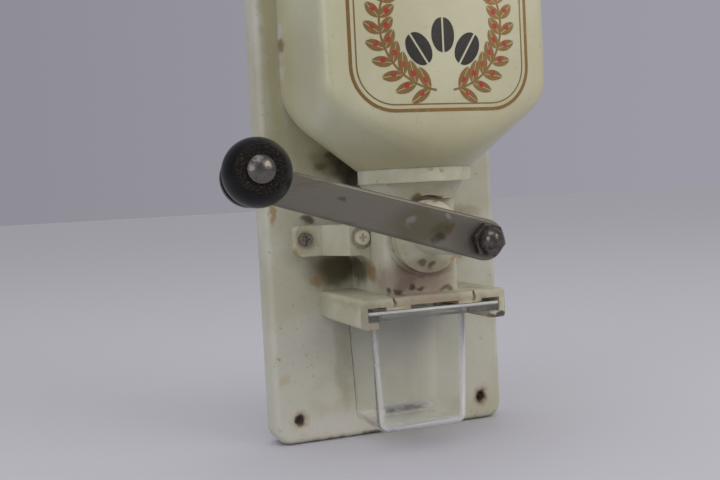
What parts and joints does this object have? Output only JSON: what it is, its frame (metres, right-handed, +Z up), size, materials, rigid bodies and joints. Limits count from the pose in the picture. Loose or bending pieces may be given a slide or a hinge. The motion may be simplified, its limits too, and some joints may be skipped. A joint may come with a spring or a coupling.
{
  "type": "wall mounted coffee mill",
  "caption": "Wall mounted hand coffee mill: sheet metal hopper with a hinged lid on a painted board, cast burr mill turned by a front crank, clear cup sliding in rails.",
  "frame": {"origin": "middle of the four wall screw holes, on the board's back face", "axes": "+Z up, +Y into the wall, -Y towards the person who turns the crank, +X to that person's right"},
  "size_m": [0.175, 0.1577, 0.34],
  "materials": {
    "painted_wood": "cream paint on wood, worn at the edges",
    "cream_sheet": "cream enamel on sheet steel",
    "cream_casting": "cream paint on a casting, rusting through",
    "rusty_steel": "rusted screw steel",
    "painted_screw": "screw painted over",
    "plain_steel": "worn plain steel",
    "burr_iron": "hard cast iron",
    "bronze": "bearing bronze",
    "worn_nickel": "nickel plate, dark with wear",
    "black_wood": "black lacquer on turned wood",
    "clear_plastic": "clear moulded plastic"
  },
  "bodies": {
    "stand": {"back_board": "painted_wood", "hopper_shell": "cream_sheet", "hopper_board_screws": "rusty_steel", "hopper_floor_screws": "plain_steel", "board_hinge_leaf": "plain_steel", "hinge_leaf_screws": "plain_steel", "hinge_pin": "plain_steel", "mill_body": "cream_casting", "outer_wing_screws": "rusty_steel", "inner_wing_screws": "painted_screw", "rear_bearing_plate": "plain_steel", "rear_plate_screws": "plain_steel", "rear_bush": "bronze", "outer_burr": "burr_iron", "outer_burr_screw": "plain_steel", "front_cap": "cream_casting", "front_bush": "bronze", "thrust_washer": "plain_steel", "left_cup_rail": "cream_casting", "right_cup_rail": "cream_casting", "rail_screws": "plain_steel"},
    "lid": {"hopper_lid": "cream_sheet", "lid_hinge_leaf": "plain_steel", "lid_rivets": "plain_steel"},
    "crank": {"drive_shaft": "plain_steel", "inner_burr": "burr_iron", "feed_worm": "burr_iron", "drive_pins": "plain_steel", "crank_arm": "plain_steel", "crank_nut": "worn_nickel", "knob_spindle": "worn_nickel"},
    "adjuster": {"adjusting_nut": "worn_nickel"},
    "knob": {"crank_knob": "black_wood"},
    "cup": {"grounds_cup": "clear_plastic"}
  },
  "joints": [
    {"name": "crank_turn", "type": "hinge", "parent": "stand", "child": "crank", "pos_m": [0, -0.076, -0.068], "axis": [0, 1, 0], "continuous": true},
    {"name": "knob_spin", "type": "hinge", "parent": "crank", "child": "knob", "pos_m": [-0.09818, -0.12604, -0.03892], "axis": [-0.0868, -0.9916, 0.0958], "continuous": true},
    {"name": "adjuster_turn", "type": "hinge", "parent": "crank", "child": "adjuster", "pos_m": [0, -0.112, -0.068], "axis": [0, 1, 0], "range_deg": [-180, 180]},
    {"name": "lid_open", "type": "hinge", "parent": "stand", "child": "lid", "pos_m": [0, -0.0194, 0.1232], "axis": [-1, 0, 0], "range_deg": [0, 94]},
    {"name": "cup_slide", "type": "slide", "parent": "stand", "child": "cup", "axis": [0, -1, 0], "range_m": [0, 0.044]}
  ]
}
